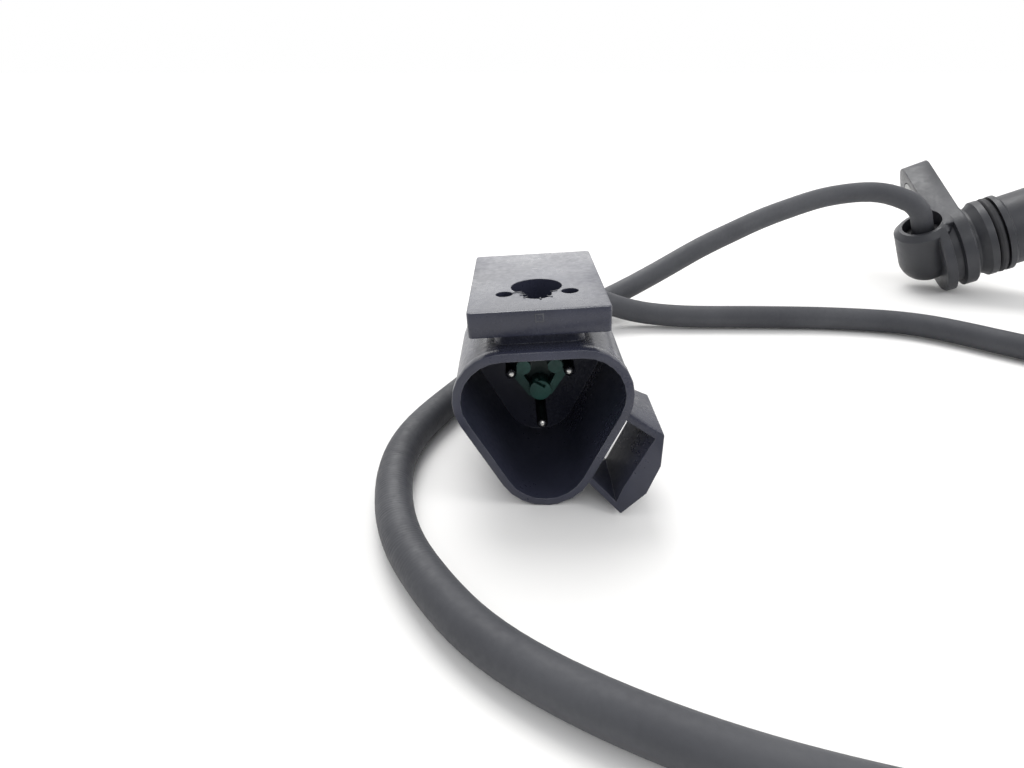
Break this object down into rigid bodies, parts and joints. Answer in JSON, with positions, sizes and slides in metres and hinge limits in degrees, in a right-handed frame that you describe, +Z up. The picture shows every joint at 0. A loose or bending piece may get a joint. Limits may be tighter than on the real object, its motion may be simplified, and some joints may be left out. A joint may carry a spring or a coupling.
{
  "type": "vehicle speed sensor",
  "caption": "Vehicle speed sensor: flanged pickup head on a free cable that ends in a rounded triangular pin receptacle with a latch bridge and a mounting plate.",
  "frame": {"origin": "on the floor below the middle of the sensor head's footprint", "axes": "+X to the viewer's right, roughly along the barrel; +Y away from the viewer; +Z up"},
  "size_m": [0.1687, 0.1728, 0.0331],
  "materials": {
    "body_black": "moulded glass-filled nylon",
    "housing_black": "moulded nylon with a slight blue-grey sheen",
    "wedge_green": "moulded, dull green",
    "seal_black": "matt silicone",
    "cable_black": "matt jacket with fine wrinkles",
    "pin_nickel": "nickel-plated copper alloy",
    "bushing_steel": "zinc-plated steel",
    "magnet_grey": "sintered magnet",
    "chip_epoxy": "moulded epoxy",
    "lead_copper": "tinned copper",
    "wire_red": "insulation",
    "wire_white": "insulation",
    "wire_black": "insulation"
  },
  "bodies": {
    "root": {"sensor_body": "body_black", "bolt_bushing": "bushing_steel", "o_ring": "seal_black", "nose_cap": "body_black", "cable_gland": "seal_black", "chip_carrier": "housing_black", "bias_magnet": "magnet_grey", "hall_chip": "chip_epoxy", "chip_lead_a": "lead_copper", "chip_lead_b": "lead_copper", "chip_lead_c": "lead_copper", "connector_housing": "housing_black", "pin_terminal_a": "pin_nickel", "pin_terminal_b": "pin_nickel", "pin_terminal_c": "pin_nickel", "wedge_lock": "wedge_green", "wire_seal": "seal_black", "lead_wire_a": "wire_red", "lead_wire_b": "wire_white", "lead_wire_c": "wire_black", "connector_boot": "seal_black", "cable": "cable_black"}
  },
  "joints": []
}
